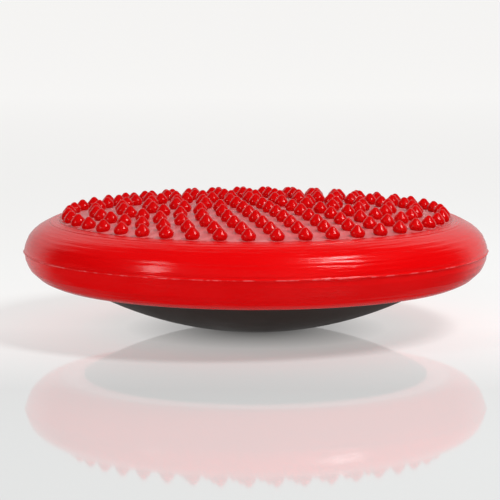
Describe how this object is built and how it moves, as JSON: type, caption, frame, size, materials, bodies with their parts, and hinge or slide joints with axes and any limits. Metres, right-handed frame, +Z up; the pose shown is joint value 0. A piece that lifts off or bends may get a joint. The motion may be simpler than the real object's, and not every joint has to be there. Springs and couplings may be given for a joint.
{
  "type": "wobble cushion",
  "caption": "Round air cushion with a ringed, studded top and a rounded rim, fixed on a shallow rigid rocker base, with a push-in air valve low at the back.",
  "frame": {"origin": "middle of the small flat at the bottom of the rocker base, where it stands on the floor", "axes": "+Z up through the middle of the cushion, -Y towards the front, the valve at the back on the +Y side"},
  "size_m": [0.4016, 0.4016, 0.1166],
  "materials": {
    "cushion_vinyl": "satin, soft moulded vinyl",
    "base_plastic": "fine matt grain",
    "deck_plastic": "matt",
    "valve_rubber": "matt",
    "plug_plastic": "semi-gloss",
    "screw_steel": "zinc plated"
  },
  "bodies": {
    "base": {"rocker_dome": "base_plastic", "deck_plate": "deck_plastic", "deck_screws": "screw_steel", "cushion_underside": "cushion_vinyl", "cushion_rim": "cushion_vinyl", "valve_seat": "valve_rubber"},
    "cushion_top": {"cushion_face": "cushion_vinyl"},
    "plug": {"valve_plug": "plug_plastic"}
  },
  "joints": [
    {"name": "face_press", "type": "slide", "parent": "base", "child": "cushion_top", "axis": [0, 0, -1], "range_m": [0, 0.02], "stiffness_N_per_m": 35000},
    {"name": "plug_pull", "type": "slide", "parent": "base", "child": "plug", "axis": [0, 0.5601, -0.8284], "range_m": [0, 0.016]}
  ]
}
